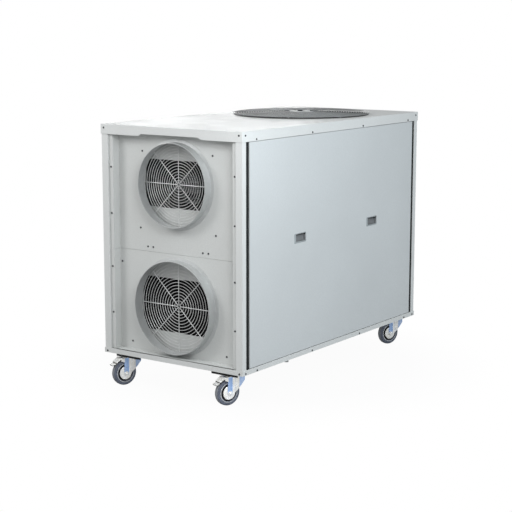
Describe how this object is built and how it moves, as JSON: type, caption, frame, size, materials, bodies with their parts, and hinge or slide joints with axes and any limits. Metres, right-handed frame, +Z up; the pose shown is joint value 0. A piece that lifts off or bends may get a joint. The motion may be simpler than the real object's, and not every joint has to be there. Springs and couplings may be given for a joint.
{
  "type": "mobile duct dehumidifier",
  "caption": "Box cabinet dehumidifier on braked swivel casters, with two round duct collars on one end, lift-off side panels and a caged fan on the roof.",
  "frame": {"origin": "on the floor, under the middle of the cabinet", "axes": "X across the cabinet, -Y towards the end with the duct collars, Z up"},
  "size_m": [0.8412, 1.6898, 1.2984],
  "materials": {
    "cabinet_light": "fine-textured powder coat",
    "cabinet_grey": "fine-textured powder coat",
    "recess_grey": "satin powder coat",
    "galvanised": "spangled zinc",
    "zinc_plate": "blue passivated zinc",
    "stainless_wire": "bright wire",
    "dark_wire": "dark grey coated wire",
    "black_steel": "black paint",
    "black_plastic": "moulded",
    "grey_plastic": "moulded",
    "seal_rubber": "foam rubber",
    "tyre_grey": "non-marking rubber",
    "aluminium_fin": "fin stock",
    "copper": "drawn tube",
    "motor_paint": "satin paint",
    "filter_media": "charcoal open-cell media",
    "knob_red": "moulded",
    "dark_screw": "blackened zinc",
    "inlet_red": "moulded"
  },
  "bodies": {
    "cabinet": {"base_tray": "cabinet_light", "roof_cap": "cabinet_light", "post_front_left": "cabinet_light", "post_front_right": "cabinet_light", "post_rear_left": "cabinet_light", "post_rear_right": "cabinet_light", "duct_panel_upper": "recess_grey", "duct_panel_lower": "recess_grey", "supply_collar": "galvanised", "return_collar": "galvanised", "supply_guard": "stainless_wire", "return_guard": "stainless_wire", "baffle_plate": "recess_grey", "panel_seals": "seal_rubber", "rear_panel": "cabinet_grey", "condenser_guard": "dark_wire", "control_panel": "black_plastic", "power_inlet": "inlet_red", "fan_venturi": "galvanised", "fan_guard": "dark_wire", "fan_motor": "grey_plastic", "blower_housing": "black_steel", "blower_motor": "motor_paint", "divider_shelf": "galvanised", "bulkhead": "galvanised", "evaporator_coil": "aluminium_fin", "condenser_coil": "aluminium_fin", "drip_tray": "galvanised", "air_filter": "filter_media", "compressor": "black_steel", "refrigerant_pipes": "copper", "electrical_box": "cabinet_grey", "cabinet_screws": "dark_screw", "caster_channels": "black_steel", "caster_top_plates": "zinc_plate", "caster_bolts": "zinc_plate"},
    "side_panel_left": {"side_panel_left": "cabinet_grey", "panel_pulls_left": "grey_plastic"},
    "side_panel_right": {"side_panel_right": "cabinet_grey", "panel_pulls_right": "grey_plastic"},
    "fan_rotor": {"fan_impeller": "motor_paint"},
    "blower_rotor": {"blower_impeller": "black_steel"},
    "isolator": {"isolator_knob": "knob_red"},
    "humidistat": {"humidistat_knob": "black_plastic"},
    "swivel_front_left": {"caster_fork_front_left": "zinc_plate"},
    "wheel_front_left": {"caster_tyre_front_left": "tyre_grey", "caster_rim_front_left": "black_plastic"},
    "pedal_front_left": {"brake_pedal_front_left": "zinc_plate"},
    "swivel_front_right": {"caster_fork_front_right": "zinc_plate"},
    "wheel_front_right": {"caster_tyre_front_right": "tyre_grey", "caster_rim_front_right": "black_plastic"},
    "pedal_front_right": {"brake_pedal_front_right": "zinc_plate"},
    "swivel_rear_left": {"caster_fork_rear_left": "zinc_plate"},
    "wheel_rear_left": {"caster_tyre_rear_left": "tyre_grey", "caster_rim_rear_left": "black_plastic"},
    "pedal_rear_left": {"brake_pedal_rear_left": "zinc_plate"},
    "swivel_rear_right": {"caster_fork_rear_right": "zinc_plate"},
    "wheel_rear_right": {"caster_tyre_rear_right": "tyre_grey", "caster_rim_rear_right": "black_plastic"},
    "pedal_rear_right": {"brake_pedal_rear_right": "zinc_plate"}
  },
  "joints": [
    {"name": "left_panel_removal", "type": "slide", "parent": "cabinet", "child": "side_panel_left", "axis": [-1, 0, 0], "range_m": [0, 0.15]},
    {"name": "right_panel_removal", "type": "slide", "parent": "cabinet", "child": "side_panel_right", "axis": [1, 0, 0], "range_m": [0, 0.15]},
    {"name": "fan_spin", "type": "hinge", "parent": "cabinet", "child": "fan_rotor", "pos_m": [0, 0.3, 1.225], "axis": [0, 0, 1], "continuous": true},
    {"name": "blower_spin", "type": "hinge", "parent": "cabinet", "child": "blower_rotor", "pos_m": [0, -0.43, 0.915], "axis": [1, 0, 0], "continuous": true},
    {"name": "isolator_turn", "type": "hinge", "parent": "cabinet", "child": "isolator", "pos_m": [-0.24, 0.801, 1.14], "axis": [0, 1, 0], "range_deg": [0, 90]},
    {"name": "humidistat_turn", "type": "hinge", "parent": "cabinet", "child": "humidistat", "pos_m": [-0.12, 0.801, 1.14], "axis": [0, 1, 0], "range_deg": [-135, 135]},
    {"name": "caster_swivel_front_left", "type": "hinge", "parent": "cabinet", "child": "swivel_front_left", "pos_m": [-0.315, -0.737, 0.14], "axis": [0, 0, 1], "continuous": true},
    {"name": "wheel_spin_front_left", "type": "hinge", "parent": "swivel_front_left", "child": "wheel_front_left", "pos_m": [-0.328, -0.77271, 0.0625], "axis": [0.9397, -0.342, 0], "continuous": true},
    {"name": "brake_front_left", "type": "hinge", "parent": "swivel_front_left", "child": "pedal_front_left", "pos_m": [-0.33518, -0.79244, 0.131], "axis": [0.9397, -0.342, 0], "range_deg": [0, 8]},
    {"name": "caster_swivel_front_right", "type": "hinge", "parent": "cabinet", "child": "swivel_front_right", "pos_m": [0.315, -0.737, 0.14], "axis": [0, 0, 1], "continuous": true},
    {"name": "wheel_spin_front_right", "type": "hinge", "parent": "swivel_front_right", "child": "wheel_front_right", "pos_m": [0.302, -0.77271, 0.0625], "axis": [0.9397, -0.342, 0], "continuous": true},
    {"name": "brake_front_right", "type": "hinge", "parent": "swivel_front_right", "child": "pedal_front_right", "pos_m": [0.29482, -0.79244, 0.131], "axis": [0.9397, -0.342, 0], "range_deg": [0, 8]},
    {"name": "caster_swivel_rear_left", "type": "hinge", "parent": "cabinet", "child": "swivel_rear_left", "pos_m": [-0.315, 0.763, 0.14], "axis": [0, 0, 1], "continuous": true},
    {"name": "wheel_spin_rear_left", "type": "hinge", "parent": "swivel_rear_left", "child": "wheel_rear_left", "pos_m": [-0.328, 0.72729, 0.0625], "axis": [0.9397, -0.342, 0], "continuous": true},
    {"name": "brake_rear_left", "type": "hinge", "parent": "swivel_rear_left", "child": "pedal_rear_left", "pos_m": [-0.33518, 0.70756, 0.131], "axis": [0.9397, -0.342, 0], "range_deg": [0, 8]},
    {"name": "caster_swivel_rear_right", "type": "hinge", "parent": "cabinet", "child": "swivel_rear_right", "pos_m": [0.315, 0.763, 0.14], "axis": [0, 0, 1], "continuous": true},
    {"name": "wheel_spin_rear_right", "type": "hinge", "parent": "swivel_rear_right", "child": "wheel_rear_right", "pos_m": [0.302, 0.72729, 0.0625], "axis": [0.9397, -0.342, 0], "continuous": true},
    {"name": "brake_rear_right", "type": "hinge", "parent": "swivel_rear_right", "child": "pedal_rear_right", "pos_m": [0.29482, 0.70756, 0.131], "axis": [0.9397, -0.342, 0], "range_deg": [0, 8]}
  ]
}
